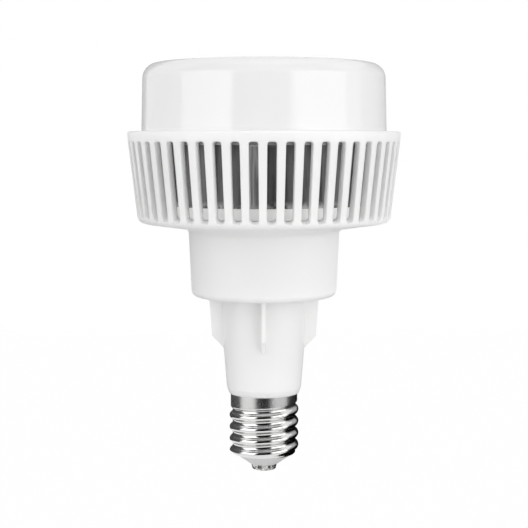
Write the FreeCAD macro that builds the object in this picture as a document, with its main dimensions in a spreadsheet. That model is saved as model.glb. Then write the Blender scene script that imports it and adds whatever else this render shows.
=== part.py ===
import FreeCAD, Part
import math
import os
import Sketcher

# LED street lamp on an E40 screw cap, standing cap down.
# The origin is the centre of the contact's lower face and +Z runs up the lamp axis to the diffuser.
# Azimuth 0 is +X. One bar of the vent cage faces the front, -Y, and a slot is centred on +X.

Vector = FreeCAD.Vector
doc = FreeCAD.newDocument("led_street_lamp")

# Driving sizes, in millimetres
SIZES = {
    # screw cap
    "contact_radius": 7.4,
    "contact_height": 3.2,
    "contact_draft": 0.7,
    "contact_edge": 0.8,
    "nose_margin": 0.6,
    "nose_height": 3.2,
    "lip_radius": 13.4,
    "shoulder_height": 1.8,
    "shell_length": 38.0,
    "shell_wall": 0.5,
    "crest_radius": 19.65,
    "thread_depth": 1.7,
    "thread_pitch": 6.35,
    "thread_start": 1.6,
    "thread_run_out": 2.7,
    "skirt_step": 1.0,
    "skirt_height": 7.6,
    # neck
    "neck_margin": 0.2,
    "neck_chamfer": 3.5,
    "neck_chamfer_width": 1.3,
    "neck_low_draft": 1.65,
    "neck_high_draft": 0.5,
    "waist_height": 25.4,
    "neck_length": 55.4,
    "neck_wall": 2.6,
    "spigot_wall": 2.2,
    "spigot_gap": 2.55,
    "rib_thickness": 2.4,
    "rib_reach": 6.6,
    "rib_flare": 1.8,
    "rib_height": 22.9,
    # drum
    "drum_bottom_radius": 40.85,
    "drum_draft": 1.6,
    "drum_height": 37.8,
    "drum_wall": 2.5,
    "drum_corner": 3.6,
    "ledge_height": 3.0,
    "ledge_width": 3.4,
    "tube_height": 11.4,
    "tube_wall": 2.4,
    # vent cage
    "floor_rise": 4.1,
    "floor_wall": 2.6,
    "floor_fillet": 2.5,
    "cage_flare": 5.25,
    "cage_height": 44.6,
    "cage_wall": 3.6,
    "cage_corner": 3.0,
    "slot_width": 4.95,
    "slot_top_corner": 1.4,
    "slot_bottom_corner": 2.0,
    "sill_rise": 4.1,
    "sill_drop": 0.58,
    "rim_radius": 76.1,
    "rim_overhang": 0.25,
    "rim_height": 5.7,
    "rim_corner": 1.3,
    "rim_land": 7.3,
    "web_thickness": 3.0,
    # diffuser
    "dome_draft": 1.15,
    "dome_height": 37.7,
    "dome_wall": 2.0,
    "dome_corner": 8.7,
    "tab_width": 10.0,
    "tab_height": 1.9,
    "tab_reach": 1.0,
    # heat sink
    "plate_drop": 0.2,
    "plate_thickness": 3.0,
    "flange_thickness": 1.5,
    "flange_clearance": 0.9,
    "vent_gap": 7.0,
    "cup_wall": 2.2,
    "cup_bend": 1.0,
    "lead_hole_radius": 4.5,
    # driver cover
    "cover_plate": 2.5,
    "cover_skirt_height": 6.0,
    "cover_skirt_wall": 2.2,
    "cover_plug_depth": 4.0,
    "cover_plug_wall": 2.0,
    "fit_clearance": 0.3,
    "cup_lip_height": 2.0,
    "cup_lip_wall": 1.6,
    "post_radius": 4.5,
    "post_circle": 28.0,
    "post_hole_depth": 14.0,
    "boss_radius": 3.6,
    "boss_hole_depth": 8.0,
    # screws
    "sink_screw_radius": 1.9,
    "sink_screw_length": 14.0,
    "sink_head_radius": 3.7,
    "sink_head_height": 2.4,
    "cover_screw_radius": 1.5,
    "cover_screw_length": 10.0,
    "cover_head_radius": 2.8,
    "cover_head_height": 2.1,
    "board_screw_radius": 1.2,
    "board_screw_length": 4.0,
    "board_head_radius": 2.7,
    "board_head_height": 1.8,
    "screw_clearance": 0.4,
    "thread_clearance": 0.05,
    # light engine
    "board_margin": 4.1,
    "board_thickness": 1.6,
    "package_width": 2.8,
    "package_length": 3.5,
    "package_height": 0.8,
    "inner_ring": 19.0,
    "middle_ring_step": 7.5,
    "board_screw_step": 8.5,
    "outer_ring_step": 9.0,
    "terminal_width": 8.0,
    "terminal_depth": 6.0,
    "terminal_height": 4.5,
    "terminal_offset": 7.0,
    # driver
    "driver_thickness": 1.6,
    "capacitor_radius": 8.0,
    "capacitor_height": 27.0,
    "capacitor_across": 22.0,
    "capacitor_back": 13.0,
    "capacitor_front": 6.0,
    "core_across": 19.5,
    "core_front": 1.0,
    "core_width": 26.0,
    "core_depth": 12.0,
    "core_height": 24.0,
    "core_leg": 8.0,
    "core_yoke": 4.0,
    "winding_build": 5.2,
    "winding_clearance": 0.2,
    "choke_radius": 6.5,
    "choke_tube": 2.8,
    "choke_across": 6.0,
    "choke_front": 22.0,
    "film_across": 1.0,
    "film_back": 24.0,
    "film_length": 18.0,
    "film_width": 8.0,
    "film_height": 14.0,
    "bridge_across": 15.0,
    "bridge_front": 20.0,
    "bridge_length": 20.0,
    "bridge_width": 4.0,
    "bridge_height": 16.0,
    "transistor_across": 14.5,
    "transistor_back": 21.0,
    "transistor_width": 10.0,
    "transistor_depth": 4.4,
    "transistor_height": 12.0,
    "tab_thickness": 1.3,
    "tab_plate_height": 18.0,
    "fuse_across": 20.0,
    "fuse_front": 23.0,
    "fuse_radius": 2.6,
    "fuse_length": 11.0,
    # leads
    "lead_radius": 0.7,
    "lead_spacing": 1.6,
    "lead_bend": 5.0,
    "lead_height": 2.3,
    "wire_across": 6.0,
    "wire_first_inset": 2.0,
    "wire_inset": 5.0,
    "wire_rise": 4.0,
}

SLOT_COUNT = 50
RIB_COUNT = 4
TAB_COUNT = 6
SCREW_COUNT = 3
BOARD_SCREW_COUNT = 6
RING_COUNTS = (10, 20, 30)

# Flats that stand for each rounded corner of a turned section
EASE_STEPS = 4

# Thread ridge: half its width as a share of the pitch, and its outline from foot to foot
RIDGE_SHARE = 0.46
RIDGE_OUTLINE = ((-1.0, 0.0), (-0.62, 0.33), (-0.33, 0.82), (0.0, 1.0),
                 (0.33, 0.82), (0.62, 0.33), (1.0, 0.0))

# The thread starts where this share of the shoulder's slope cuts it off
TRIM_SHARE = 0.84

# A lead with no bend of its own turns over this share of its shorter run
BEND_SHARE = 0.45

sheet = doc.addObject("Spreadsheet::Sheet", "sizes")
for row, (name, number) in enumerate(SIZES.items(), start=1):
    sheet.set(f"A{row}", name)
    sheet.set(f"B{row}", str(number))
    sheet.setAlias(f"B{row}", name)
doc.recompute()


class Size:
    """A length that carries its number and the sheet expression that gives it."""

    def __init__(self, value, text):
        self.value = value
        self.text = text

    def __add__(self, other):
        other = as_size(other)
        return Size(self.value + other.value, f"({self.text} + {other.text})")

    def __sub__(self, other):
        other = as_size(other)
        return Size(self.value - other.value, f"({self.text} - {other.text})")

    def __mul__(self, other):
        other = as_size(other)
        return Size(self.value * other.value, f"({self.text} * {other.text})")

    def __truediv__(self, other):
        other = as_size(other)
        return Size(self.value / other.value, f"({self.text} / {other.text})")

    def __neg__(self):
        return as_size(0) - self


def as_size(thing):
    if isinstance(thing, Size):
        return thing
    return Size(float(thing), repr(float(thing)))


class Dimensions:
    """Reads each named size from the sheet."""

    def __getattr__(self, name):
        return Size(float(sheet.get(name)), f"sizes.{name}")


dim = Dimensions()


# Levels along the lamp axis, from the contact up
z_contact_top = dim.contact_height
z_shell_bottom = z_contact_top + dim.nose_height
z_shoulder = z_shell_bottom + dim.shoulder_height
z_shell_top = z_shell_bottom + dim.shell_length
z_skirt_bottom = z_shell_top - dim.skirt_height
z_flange_low = z_shoulder + dim.shell_wall / 2 + dim.fit_clearance
z_flange_top = z_flange_low + dim.shell_wall * 2
z_spigot = z_flange_top + dim.spigot_gap
z_neck_low = z_shell_top + dim.neck_chamfer
z_waist = z_shell_top + dim.waist_height
z_drum_bottom = z_shell_top + dim.neck_length
z_drum_floor = z_drum_bottom + dim.drum_wall
z_ledge = z_drum_floor + dim.ledge_height
z_driver_top = z_ledge + dim.driver_thickness
z_drum_top = z_drum_bottom + dim.drum_height
z_tube_top = z_drum_top + dim.tube_height
z_cover_top = z_tube_top + dim.cover_plate
z_cage_bottom = z_drum_top + dim.floor_rise
z_sill = z_cage_bottom + dim.sill_rise
z_slot_top = z_cage_bottom + dim.cage_height
z_rim_top = z_slot_top + dim.rim_height
z_plate_top = z_slot_top - dim.plate_drop
z_plate_bottom = z_plate_top - dim.plate_thickness
z_board_top = z_plate_top + dim.board_thickness
z_dome_top = z_rim_top + dim.dome_height

# Radii shared by mating pieces
root_radius = dim.crest_radius - dim.thread_depth
skirt_radius = root_radius + dim.skirt_step
bore_radius = root_radius - dim.shell_wall
spigot_radius = bore_radius - dim.fit_clearance
neck_bore = spigot_radius - dim.spigot_wall
neck_end_radius = dim.crest_radius + dim.neck_margin
neck_low_radius = neck_end_radius + dim.neck_chamfer_width
neck_waist_radius = neck_low_radius + dim.neck_low_draft
neck_top_radius = neck_waist_radius + dim.neck_high_draft
drum_top_radius = dim.drum_bottom_radius + dim.drum_draft
drum_bore_low = dim.drum_bottom_radius - dim.drum_wall
tube_bore = drum_top_radius - dim.drum_wall
tube_radius = tube_bore + dim.tube_wall
cage_top_radius = dim.rim_radius - dim.rim_overhang
cage_bottom_radius = cage_top_radius - dim.cage_flare
cage_bore_low = cage_bottom_radius - dim.cage_wall
cage_bore_top = cage_top_radius - dim.cage_wall
rim_opening = dim.rim_radius - dim.rim_land
dome_low_radius = rim_opening - dim.fit_clearance
dome_high_radius = dome_low_radius - dim.dome_draft
flange_radius = cage_bore_top - dim.flange_clearance
cup_radius = cage_bore_low - dim.vent_gap
cup_bore = cup_radius - dim.cup_wall
cup_lip_outer = cup_bore - dim.fit_clearance
cup_lip_inner = cup_lip_outer - dim.cup_lip_wall
boss_circle = (tube_radius + cup_lip_inner) / 2
board_radius = dome_low_radius - dim.dome_wall - dim.board_margin
middle_ring = dim.post_circle + dim.middle_ring_step
board_screw_circle = middle_ring + dim.board_screw_step
outer_ring = board_screw_circle + dim.outer_ring_step


# Building helpers
def bind(feature, path, length):
    feature.setExpression(path, as_size(length).text)


def new_body(label):
    body = doc.addObject("PartDesign::Body", label)
    body.Label = label
    body.AllowCompound = True
    return body


def origin_feature(body, role):
    for feature in body.Origin.OriginFeatures:
        if feature.Role == role:
            return feature
    raise RuntimeError("no origin feature " + role)


def new_sketch(body, name, role, lift=0):
    sketch = body.newObject("Sketcher::SketchObject", name)
    sketch.AttachmentSupport = (origin_feature(body, role), [""])
    sketch.MapMode = "FlatFace"
    sketch.AttachmentOffset = FreeCAD.Placement(Vector(0, 0, as_size(lift).value), FreeCAD.Rotation())
    bind(sketch, "AttachmentOffset.Base.z", lift)
    return sketch


def hold(sketch, kind, first, length):
    """One distance constraint, bound to the sheet."""
    length = as_size(length)
    index = sketch.addConstraint(Sketcher.Constraint(kind, *first, length.value))
    bind(sketch, f"Constraints[{index}]", length)


def hold_point(sketch, edge, end, across, along):
    """Places one end of an edge, or a circle's centre, at (across, along) in the sketch."""
    if as_size(across).value == 0:
        sketch.addConstraint(Sketcher.Constraint("PointOnObject", edge, end, -2))
    else:
        hold(sketch, "DistanceX", (-1, 1, edge, end), across)
    if as_size(along).value == 0:
        sketch.addConstraint(Sketcher.Constraint("PointOnObject", edge, end, -1))
    else:
        hold(sketch, "DistanceY", (-1, 1, edge, end), along)


def polygon(body, name, role, corners, lift=0):
    sketch = new_sketch(body, name, role, lift)
    places = [Vector(as_size(x).value, as_size(y).value, 0) for x, y in corners]
    count = len(places)
    for index in range(count):
        sketch.addGeometry(Part.LineSegment(places[index], places[(index + 1) % count]))
    for index in range(count):
        sketch.addConstraint(Sketcher.Constraint("Coincident", index, 2, (index + 1) % count, 1))
    for index, (across, along) in enumerate(corners):
        hold_point(sketch, index, 1, across, along)
    return sketch


def eased(corner, before, after, reach):
    """Corners of a rounding: it starts at the reach along one side and ends at the reach along the other."""
    places = []
    for step in range(EASE_STEPS + 1):
        turn = math.pi / 2 * step / EASE_STEPS
        back = reach * (1 - math.sin(turn))
        onward = reach * (1 - math.cos(turn))
        places.append((corner[0] + back * before[0] + onward * after[0],
                       corner[1] + back * before[1] + onward * after[1]))
    return places


def circles(body, name, role, rounds, lift=0):
    """Each round is (across, along, radius)."""
    sketch = new_sketch(body, name, role, lift)
    for index, (across, along, radius) in enumerate(rounds):
        centre = Vector(as_size(across).value, as_size(along).value, 0)
        sketch.addGeometry(Part.Circle(centre, Vector(0, 0, 1), as_size(radius).value))
        hold(sketch, "Radius", (index,), radius)
        hold_point(sketch, index, 3, across, along)
    return sketch


def revolve(body, sketch, kind="Revolution"):
    feature = body.newObject("PartDesign::" + kind, sketch.Name + "_turned")
    feature.Profile = sketch
    feature.ReferenceAxis = (sketch, ["V_Axis"])
    feature.Angle = 360
    return feature


def extrude(body, sketch, kind, length, midplane=False, reverse=False):
    feature = body.newObject("PartDesign::" + kind, sketch.Name + "_" + kind.lower())
    feature.Profile = sketch
    feature.Midplane = midplane
    feature.Reversed = reverse
    bind(feature, "Length", length)
    return feature


def polar(body, features, count):
    pattern = body.newObject("PartDesign::PolarPattern", features[0].Name + "_ring")
    pattern.Originals = features
    pattern.Axis = (origin_feature(body, "Z_Axis"), [""])
    pattern.Angle = 360
    pattern.Occurrences = count
    body.Tip = pattern
    return pattern


def round_rings(body, radius, rings):
    """Rounds the circular edges that lie at the given (radius, height) places."""
    doc.recompute()
    base = body.Tip
    names = []
    for index, edge in enumerate(base.Shape.Edges, start=1):
        if not isinstance(edge.Curve, Part.Circle):
            continue
        for ring, height in rings:
            near = abs(edge.Curve.Radius - ring.value) + abs(edge.Curve.Center.z - height.value)
            if near < 0.02:
                names.append(f"Edge{index}")
    if not names:
        raise RuntimeError("no edge to round on " + body.Label)
    feature = body.newObject("PartDesign::Fillet", body.Label + "_round")
    feature.Base = (base, names)
    bind(feature, "Radius", radius)
    return feature


def round_edges(body, radius, ends):
    """Rounds the straight edges whose two ends lie at the given pairs of (x, z) places."""
    doc.recompute()
    base = body.Tip
    names = []
    for index, edge in enumerate(base.Shape.Edges, start=1):
        places = [(point.Point.x, point.Point.z) for point in edge.Vertexes]
        if len(places) < 2:
            continue
        for order in (places, places[::-1]):
            gaps = [abs(here[0] - there[0].value) + abs(here[1] - there[1].value)
                    for here, there in zip(order, ends)]
            if max(gaps) < 0.01:
                names.append(f"Edge{index}")
                break
    if not names:
        raise RuntimeError("no edge to round on " + body.Label)
    feature = body.newObject("PartDesign::Fillet", body.Label + "_edge")
    feature.Base = (base, names)
    bind(feature, "Radius", radius)
    return feature


nodes = []


# Vent housing: one moulding from the spigot in the screw shell up to the rim
housing = new_body("vent_housing")
nodes.append(housing)
cage_taper = (cage_top_radius - cage_bottom_radius) / dim.cage_height
floor_slope = dim.floor_rise / (cage_bottom_radius - drum_top_radius)
drum_taper = dim.drum_draft / dim.drum_height
rim_edge = eased((dim.rim_radius, z_rim_top), (-1, 0), (0, -1), dim.rim_corner)
cage_edge = eased((cage_bottom_radius, z_cage_bottom), (cage_taper, 1), (-1, -floor_slope), dim.cage_corner)
drum_hollow = eased((drum_top_radius, z_drum_top), (1, floor_slope), (-drum_taper, -1), dim.floor_fillet)
section = polygon(housing, "housing_section", "XZ_Plane", [
    (rim_opening, z_rim_top),
    *rim_edge,
    (cage_top_radius, z_slot_top),
    *cage_edge,
    *drum_hollow,
    (dim.drum_bottom_radius, z_drum_bottom),
    (neck_top_radius, z_drum_bottom),
    (neck_waist_radius, z_waist),
    (neck_low_radius, z_neck_low),
    (neck_end_radius, z_shell_top),
    (spigot_radius, z_shell_top),
    (spigot_radius, z_spigot),
    (neck_bore, z_spigot),
    (neck_bore, z_neck_low),
    (neck_waist_radius - dim.neck_wall, z_waist),
    (neck_top_radius - dim.neck_wall, z_drum_floor),
    (drum_bore_low - dim.ledge_width, z_drum_floor),
    (drum_bore_low - dim.ledge_width, z_ledge),
    (drum_bore_low, z_ledge),
    (tube_bore, z_drum_top),
    (tube_bore, z_tube_top),
    (tube_radius, z_tube_top),
    (tube_radius, z_drum_top + dim.floor_wall),
    (cage_bore_low, z_cage_bottom + dim.floor_wall),
    (cage_bore_top, z_rim_top - dim.web_thickness),
    (rim_opening, z_rim_top - dim.web_thickness),
])
revolve(housing, section)
round_rings(housing, dim.drum_corner, [(dim.drum_bottom_radius, z_drum_bottom)])

# Four ribs between neck and drum, each with a slanted foot
rib_root = neck_waist_radius - dim.neck_wall / 2
rib_foot_radius = neck_waist_radius + dim.rib_reach
rib_top_radius = rib_foot_radius + dim.rib_flare
rib_section = polygon(housing, "rib_section", "XZ_Plane", [
    (rib_root, z_drum_floor - dim.drum_wall / 2),
    (rib_top_radius, z_drum_floor - dim.drum_wall / 2),
    (rib_foot_radius, z_drum_bottom - dim.rib_height),
    (neck_waist_radius, z_waist),
    (rib_root, z_waist),
])
rib = extrude(housing, rib_section, "Pad", dim.rib_thickness, midplane=True)
polar(housing, [rib], RIB_COUNT)

# Bosses on the floor that take the cover screws
boss_face = circles(housing, "boss_face", "XY_Plane", [(boss_circle, 0, dim.boss_radius)], z_tube_top)
boss_length = dim.tube_height - dim.floor_wall
boss = extrude(housing, boss_face, "Pad", boss_length, reverse=True)
polar(housing, [boss], SCREW_COUNT)
boss_bore = dim.cover_screw_radius + dim.thread_clearance
boss_hole = circles(housing, "boss_hole", "XY_Plane", [(boss_circle, 0, boss_bore)], z_tube_top)
bored_boss = extrude(housing, boss_hole, "Pocket", dim.boss_hole_depth)
polar(housing, [bored_boss], SCREW_COUNT)

# Upright slots through the cage wall, each ending on a sill that slopes down and outwards
slot_start = cup_radius + dim.vent_gap / 2
slot_end = dim.rim_radius + dim.cage_wall
z_sill_start = z_sill + (cage_bore_low - slot_start) * dim.sill_drop
z_sill_end = z_sill - (slot_end - cage_bore_low) * dim.sill_drop
slot_tool = new_body("slot_tool")
slot_section = polygon(slot_tool, "slot_section", "XZ_Plane", [
    (slot_start, z_sill_start),
    (slot_end, z_sill_end),
    (slot_end, z_slot_top),
    (slot_start, z_slot_top),
])
extrude(slot_tool, slot_section, "Pad", dim.slot_width, midplane=True)
round_edges(slot_tool, dim.slot_top_corner, [(slot_start, z_slot_top), (slot_end, z_slot_top)])
round_edges(slot_tool, dim.slot_bottom_corner, [(slot_start, z_sill_start), (slot_end, z_sill_end)])
slot_ring = slot_tool.newObject("PartDesign::PolarPattern", "slot_ring")
slot_ring.TransformMode = "Whole shape"
slot_ring.Axis = (origin_feature(slot_tool, "Z_Axis"), [""])
slot_ring.Angle = 360
slot_ring.Occurrences = SLOT_COUNT
slot_tool.Tip = slot_ring
slots = housing.newObject("PartDesign::Boolean", "slots")
slots.Type = "Cut"
slots.addObjects([slot_tool])
housing.Tip = slots


# Diffuser: opal cap with a rounded upper corner, its foot on the heat sink's flange inside the rim
diffuser = new_body("diffuser_cover")
nodes.append(diffuser)
dome_section = polygon(diffuser, "dome_section", "XZ_Plane", [
    (0, z_dome_top),
    (dome_high_radius, z_dome_top),
    (dome_low_radius, z_plate_top),
    (dome_low_radius - dim.dome_wall, z_plate_top),
    (dome_high_radius - dim.dome_wall, z_dome_top - dim.dome_wall),
    (0, z_dome_top - dim.dome_wall),
])
revolve(diffuser, dome_section)
round_rings(diffuser, dim.dome_corner, [(dome_high_radius, z_dome_top)])
inner_corner = (dome_high_radius - dim.dome_wall, z_dome_top - dim.dome_wall)
round_rings(diffuser, dim.dome_corner - dim.dome_wall, [inner_corner])
z_tab_top = z_rim_top - dim.web_thickness - dim.fit_clearance
z_tab = z_tab_top - dim.tab_height
tab_root = dome_low_radius - dim.dome_wall / 2
tab_edge = dome_low_radius + dim.tab_reach
tab_section = polygon(diffuser, "tab_section", "XZ_Plane", [
    (tab_root, z_tab),
    (tab_edge, z_tab + dim.tab_height / 2),
    (tab_edge, z_tab_top),
    (tab_root, z_tab_top),
])
snap_tab = extrude(diffuser, tab_section, "Pad", dim.tab_width, midplane=True)
polar(diffuser, [snap_tab], TAB_COUNT)


# Heat sink: aluminium cup whose plate carries the light engine and whose flange centres it in the cage
heat_sink = new_body("heat_sink")
nodes.append(heat_sink)
cup_section = polygon(heat_sink, "cup_section", "XZ_Plane", [
    (dim.lead_hole_radius, z_plate_top),
    (flange_radius, z_plate_top),
    (flange_radius, z_plate_top - dim.flange_thickness),
    (cup_radius, z_plate_top - dim.flange_thickness),
    (cup_radius, z_cover_top),
    (cup_bore, z_cover_top),
    (cup_bore, z_plate_bottom),
    (dim.lead_hole_radius, z_plate_bottom),
])
revolve(heat_sink, cup_section)
round_rings(heat_sink, dim.cup_bend, [(cup_radius, z_plate_top - dim.flange_thickness)])
sink_hole_radius = dim.sink_screw_radius + dim.screw_clearance
sink_hole = circles(heat_sink, "sink_hole", "XY_Plane", [(dim.post_circle, 0, sink_hole_radius)], z_plate_top)
drilled_sink = extrude(heat_sink, sink_hole, "Pocket", dim.plate_thickness * 2)
polar(heat_sink, [drilled_sink], SCREW_COUNT)
tapped_radius = dim.board_screw_radius + dim.thread_clearance
tapped = circles(heat_sink, "tapped", "XY_Plane", [(board_screw_circle, 0, tapped_radius)], z_plate_top)
tapped_hole = extrude(heat_sink, tapped, "Pocket", dim.plate_thickness * 2)
polar(heat_sink, [tapped_hole], BOARD_SCREW_COUNT)


# Driver cover: white plate that plugs the drum's tube and carries the cup on its edge
cover = new_body("driver_cover")
nodes.append(cover)
plug_radius = tube_bore - dim.fit_clearance
z_skirt = z_cover_top - dim.cover_skirt_height
cover_section = polygon(cover, "cover_section", "XZ_Plane", [
    (dim.lead_hole_radius, z_tube_top),
    (dim.lead_hole_radius, z_cover_top),
    (cup_lip_inner, z_cover_top),
    (cup_lip_inner, z_cover_top + dim.cup_lip_height),
    (cup_lip_outer, z_cover_top + dim.cup_lip_height),
    (cup_lip_outer, z_cover_top),
    (cup_radius, z_cover_top),
    (cup_radius, z_skirt),
    (cup_radius - dim.cover_skirt_wall, z_skirt),
    (cup_radius - dim.cover_skirt_wall, z_tube_top),
    (plug_radius, z_tube_top),
    (plug_radius, z_tube_top - dim.cover_plug_depth),
    (plug_radius - dim.cover_plug_wall, z_tube_top - dim.cover_plug_depth),
    (plug_radius - dim.cover_plug_wall, z_tube_top),
])
revolve(cover, cover_section)
post_face = circles(cover, "post_face", "XY_Plane", [(dim.post_circle, 0, dim.post_radius)], z_cover_top)
post = extrude(cover, post_face, "Pad", z_plate_bottom - z_cover_top)
polar(cover, [post], SCREW_COUNT)
post_bore = dim.sink_screw_radius + dim.thread_clearance
post_hole = circles(cover, "post_hole", "XY_Plane", [(dim.post_circle, 0, post_bore)], z_plate_bottom)
bored_post = extrude(cover, post_hole, "Pocket", dim.post_hole_depth)
polar(cover, [bored_post], SCREW_COUNT)
cover_hole_radius = dim.cover_screw_radius + dim.screw_clearance
cover_hole = circles(cover, "cover_hole", "XY_Plane", [(boss_circle, 0, cover_hole_radius)], z_cover_top)
drilled_cover = extrude(cover, cover_hole, "Pocket", dim.cover_plate * 2)
polar(cover, [drilled_cover], SCREW_COUNT)


# Light engine: round metal-core board with three rings of packages
led_board = new_body("led_board")
nodes.append(led_board)
board_face = circles(led_board, "board_face", "XY_Plane", [
    (0, 0, board_radius),
    (0, 0, dim.lead_hole_radius),
], z_plate_top)
extrude(led_board, board_face, "Pad", dim.board_thickness)
head_hole_radius = dim.sink_head_radius + dim.screw_clearance
head_hole = circles(led_board, "head_hole", "XY_Plane", [(dim.post_circle, 0, head_hole_radius)], z_board_top)
cut_head_hole = extrude(led_board, head_hole, "Pocket", dim.board_thickness * 2)
polar(led_board, [cut_head_hole], SCREW_COUNT)
fix_hole_radius = dim.board_screw_radius + dim.screw_clearance
fix_hole = circles(led_board, "fix_hole", "XY_Plane", [(board_screw_circle, 0, fix_hole_radius)], z_board_top)
cut_fix_hole = extrude(led_board, fix_hole, "Pocket", dim.board_thickness * 2)
polar(led_board, [cut_fix_hole], BOARD_SCREW_COUNT)

packages = new_body("led_packages")
nodes.append(packages)
half_length = dim.package_length / 2
half_width = dim.package_width / 2
ring_radii = (dim.inner_ring, middle_ring, outer_ring)
for number, (ring, count) in enumerate(zip(ring_radii, RING_COUNTS), start=1):
    package_face = polygon(packages, f"package_face_{number}", "XY_Plane", [
        (ring - half_width, -half_length),
        (ring + half_width, -half_length),
        (ring + half_width, half_length),
        (ring - half_width, half_length),
    ], z_board_top)
    package = extrude(packages, package_face, "Pad", dim.package_height)
    polar(packages, [package], count)


def screw_ring(label, circle, seat, shank_radius, shank_length, head_radius, head_height, count):
    """A ring of equal screws whose heads sit at the height of the seat."""
    body = new_body(label)
    nodes.append(body)
    shank_face = circles(body, label + "_shank", "XY_Plane", [(circle, 0, shank_radius)], seat)
    shank = extrude(body, shank_face, "Pad", shank_length, reverse=True)
    head_face = circles(body, label + "_head", "XY_Plane", [(circle, 0, head_radius)], seat)
    head = extrude(body, head_face, "Pad", head_height)
    polar(body, [shank, head], count)
    return body


screw_ring("board_screws", board_screw_circle, z_board_top, dim.board_screw_radius,
           dim.board_screw_length, dim.board_head_radius, dim.board_head_height, BOARD_SCREW_COUNT)
screw_ring("heat_sink_screws", dim.post_circle, z_plate_top, dim.sink_screw_radius,
           dim.sink_screw_length, dim.sink_head_radius, dim.sink_head_height, SCREW_COUNT)
screw_ring("cover_screws", boss_circle, z_cover_top, dim.cover_screw_radius,
           dim.cover_screw_length, dim.cover_head_radius, dim.cover_head_height, SCREW_COUNT)


# Driver pieces made from plain solids on the driver board
def box(name, length, width, height, across, along, base):
    solid = doc.addObject("Part::Box", name)
    solid.Label = name
    bind(solid, "Length", length)
    bind(solid, "Width", width)
    bind(solid, "Height", height)
    bind(solid, "Placement.Base.x", as_size(across) - length / 2)
    bind(solid, "Placement.Base.y", as_size(along) - width / 2)
    bind(solid, "Placement.Base.z", base)
    return solid


def cylinder(name, radius, height, across, along, base):
    solid = doc.addObject("Part::Cylinder", name)
    solid.Label = name
    bind(solid, "Radius", radius)
    bind(solid, "Height", height)
    bind(solid, "Placement.Base.x", across)
    bind(solid, "Placement.Base.y", along)
    bind(solid, "Placement.Base.z", base)
    return solid


def cut(label, base, tool):
    result = doc.addObject("Part::Cut", label)
    result.Label = label
    result.Base = base
    result.Tool = tool
    return result


def fuse(label, first, second):
    result = doc.addObject("Part::Fuse", label)
    result.Label = label
    result.Base = first
    result.Tool = second
    return result


terminal = box("board_terminal", dim.terminal_width, dim.terminal_depth, dim.terminal_height,
               0, dim.terminal_offset + dim.terminal_depth / 2, z_board_top)
nodes.append(terminal)

driver_board = new_body("driver_board")
nodes.append(driver_board)
driver_radius = drum_bore_low - dim.fit_clearance
driver_face = circles(driver_board, "driver_face", "XY_Plane", [(0, 0, driver_radius)], z_ledge)
extrude(driver_board, driver_face, "Pad", dim.driver_thickness)

first_can = cylinder("first_can", dim.capacitor_radius, dim.capacitor_height,
                     -dim.capacitor_across, dim.capacitor_back, z_driver_top)
second_can = cylinder("second_can", dim.capacitor_radius, dim.capacitor_height,
                      -dim.capacitor_across, -dim.capacitor_front, z_driver_top)
nodes.append(fuse("bulk_capacitors", first_can, second_can))

# Transformer: a core with two windows and a coil round its middle leg
core_across = dim.core_across
core_along = -dim.core_front
window_height = dim.core_height - dim.core_yoke * 2
window_width = (dim.core_width - dim.core_leg) / 2 - dim.core_yoke
window_offset = (dim.core_leg + window_width) / 2
core_block = box("core_block", dim.core_width, dim.core_depth, dim.core_height,
                 core_across, core_along, z_driver_top)
z_window = z_driver_top + dim.core_yoke
left_window = box("left_window", window_width, dim.core_depth * 2, window_height,
                  core_across - window_offset, core_along, z_window)
right_window = box("right_window", window_width, dim.core_depth * 2, window_height,
                   core_across + window_offset, core_along, z_window)
nodes.append(cut("transformer_core", core_block, fuse("core_windows", left_window, right_window)))

coil_inner_width = dim.core_leg + dim.winding_clearance * 2
coil_inner_depth = dim.core_depth + dim.winding_clearance * 2
coil_height = window_height - dim.winding_clearance * 2
coil_build = window_width - dim.winding_clearance * 2
z_coil = z_window + dim.winding_clearance
coil_block = box("coil_block", coil_inner_width + coil_build * 2, coil_inner_depth + dim.winding_build * 2,
                 coil_height, core_across, core_along, z_coil)
coil_bore = box("coil_bore", coil_inner_width, coil_inner_depth, coil_height, core_across, core_along, z_coil)
nodes.append(cut("transformer_winding", coil_block, coil_bore))

choke = doc.addObject("Part::Torus", "line_choke")
choke.Label = "line_choke"
bind(choke, "Radius1", dim.choke_radius)
bind(choke, "Radius2", dim.choke_tube)
bind(choke, "Placement.Base.x", -dim.choke_across)
bind(choke, "Placement.Base.y", -dim.choke_front)
bind(choke, "Placement.Base.z", z_driver_top + dim.choke_tube)
nodes.append(choke)

nodes.append(box("film_capacitor", dim.film_length, dim.film_width, dim.film_height,
                 -dim.film_across, dim.film_back, z_driver_top))
nodes.append(box("bridge_rectifier", dim.bridge_length, dim.bridge_width, dim.bridge_height,
                 dim.bridge_across, -dim.bridge_front, z_driver_top))

transistor_body = box("transistor_body", dim.transistor_width, dim.transistor_depth, dim.transistor_height,
                      dim.transistor_across, dim.transistor_back, z_driver_top)
tab_back = dim.transistor_back + (dim.transistor_depth + dim.tab_thickness) / 2
transistor_tab = box("transistor_tab", dim.transistor_width, dim.tab_thickness, dim.tab_plate_height,
                     dim.transistor_across, tab_back, z_driver_top)
nodes.append(fuse("switching_transistor", transistor_body, transistor_tab))

nodes.append(cylinder("input_fuse", dim.fuse_radius, dim.fuse_length,
                      -dim.fuse_across, -dim.fuse_front, z_driver_top))


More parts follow.
